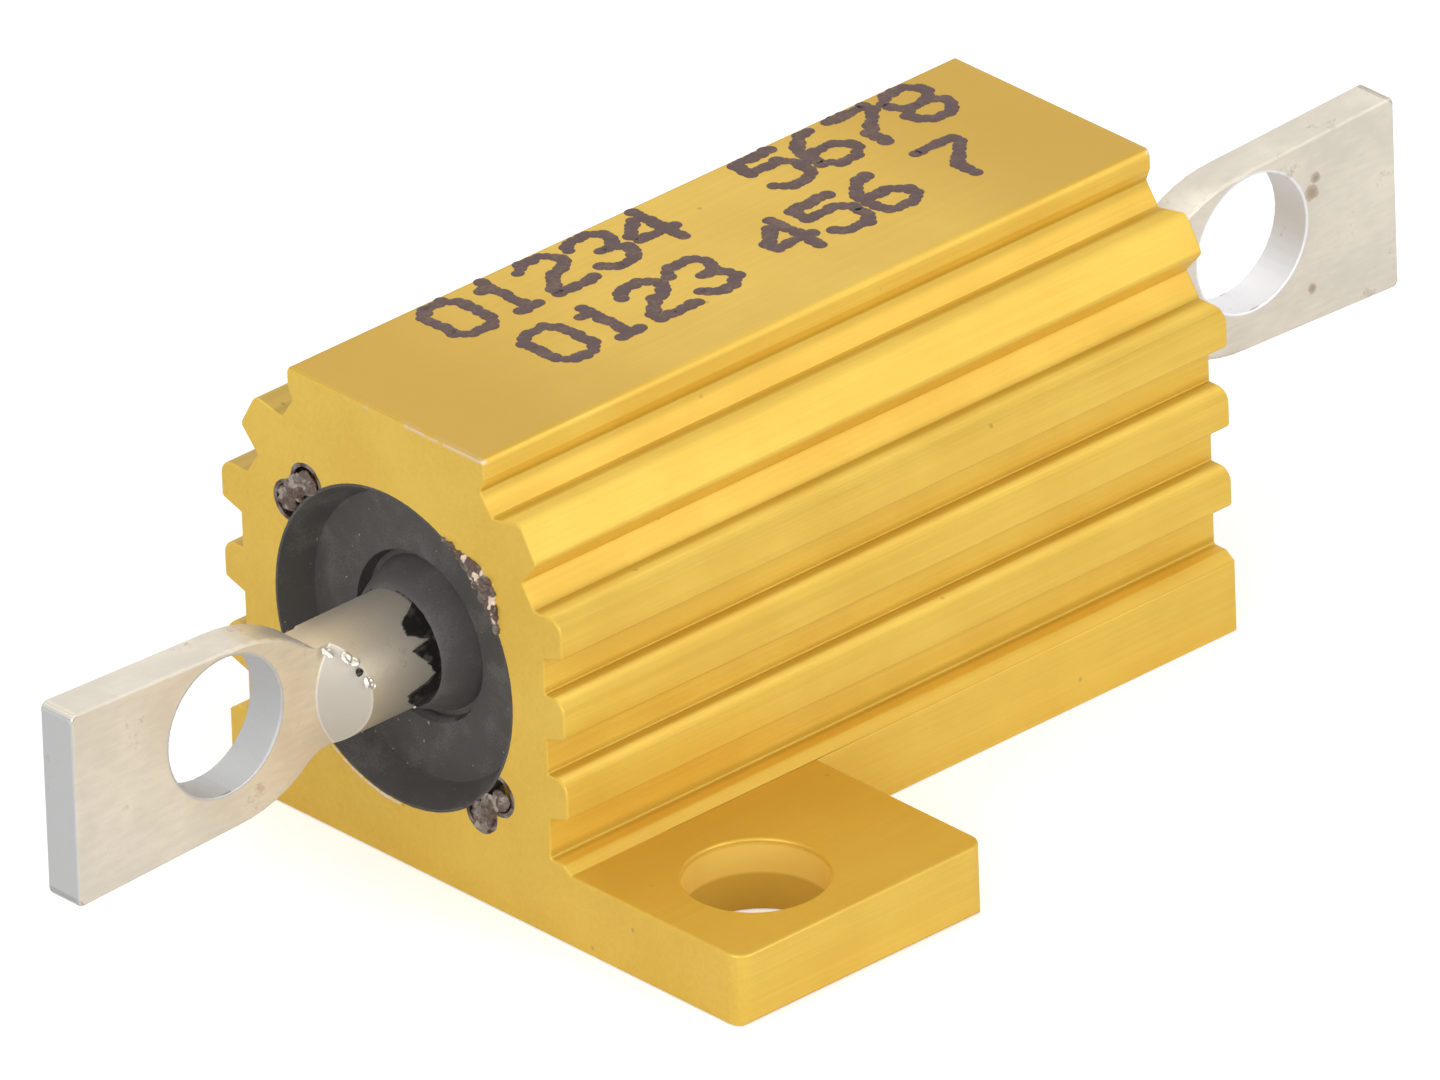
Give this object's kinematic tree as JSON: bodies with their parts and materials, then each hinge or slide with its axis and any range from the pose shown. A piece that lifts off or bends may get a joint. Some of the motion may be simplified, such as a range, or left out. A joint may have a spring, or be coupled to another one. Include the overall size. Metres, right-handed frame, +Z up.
{
  "type": "aluminium housed power resistor",
  "caption": "Wirewound power resistor in a finned, gold anodised aluminium housing with diagonal mounting feet and flattened eyelet terminals.",
  "frame": {"origin": "middle of the flat mounting face, under the centre of the body", "axes": "+X along the two terminals, +Y across the feet, +Z up from the mounting face through the flat top"},
  "size_m": [0.03, 0.0164, 0.0084],
  "materials": {
    "anodised_aluminium": "satin gold anodised, extruded grain along the fins",
    "moulding_compound": "matt black high temperature moulding compound",
    "ceramic": "unglazed fired ceramic",
    "resistance_alloy": "drawn resistance wire",
    "cap_steel": "plain pressed steel",
    "tinned_lead": "satin tinned, pressed flat, grey where it is cut"
  },
  "bodies": {
    "root": {"housing": "anodised_aluminium", "moulding": "moulding_compound", "ceramic_core": "ceramic", "resistance_wire": "resistance_alloy", "end_cap_front": "cap_steel", "end_cap_rear": "cap_steel", "terminal_front": "tinned_lead", "terminal_rear": "tinned_lead"}
  },
  "joints": []
}
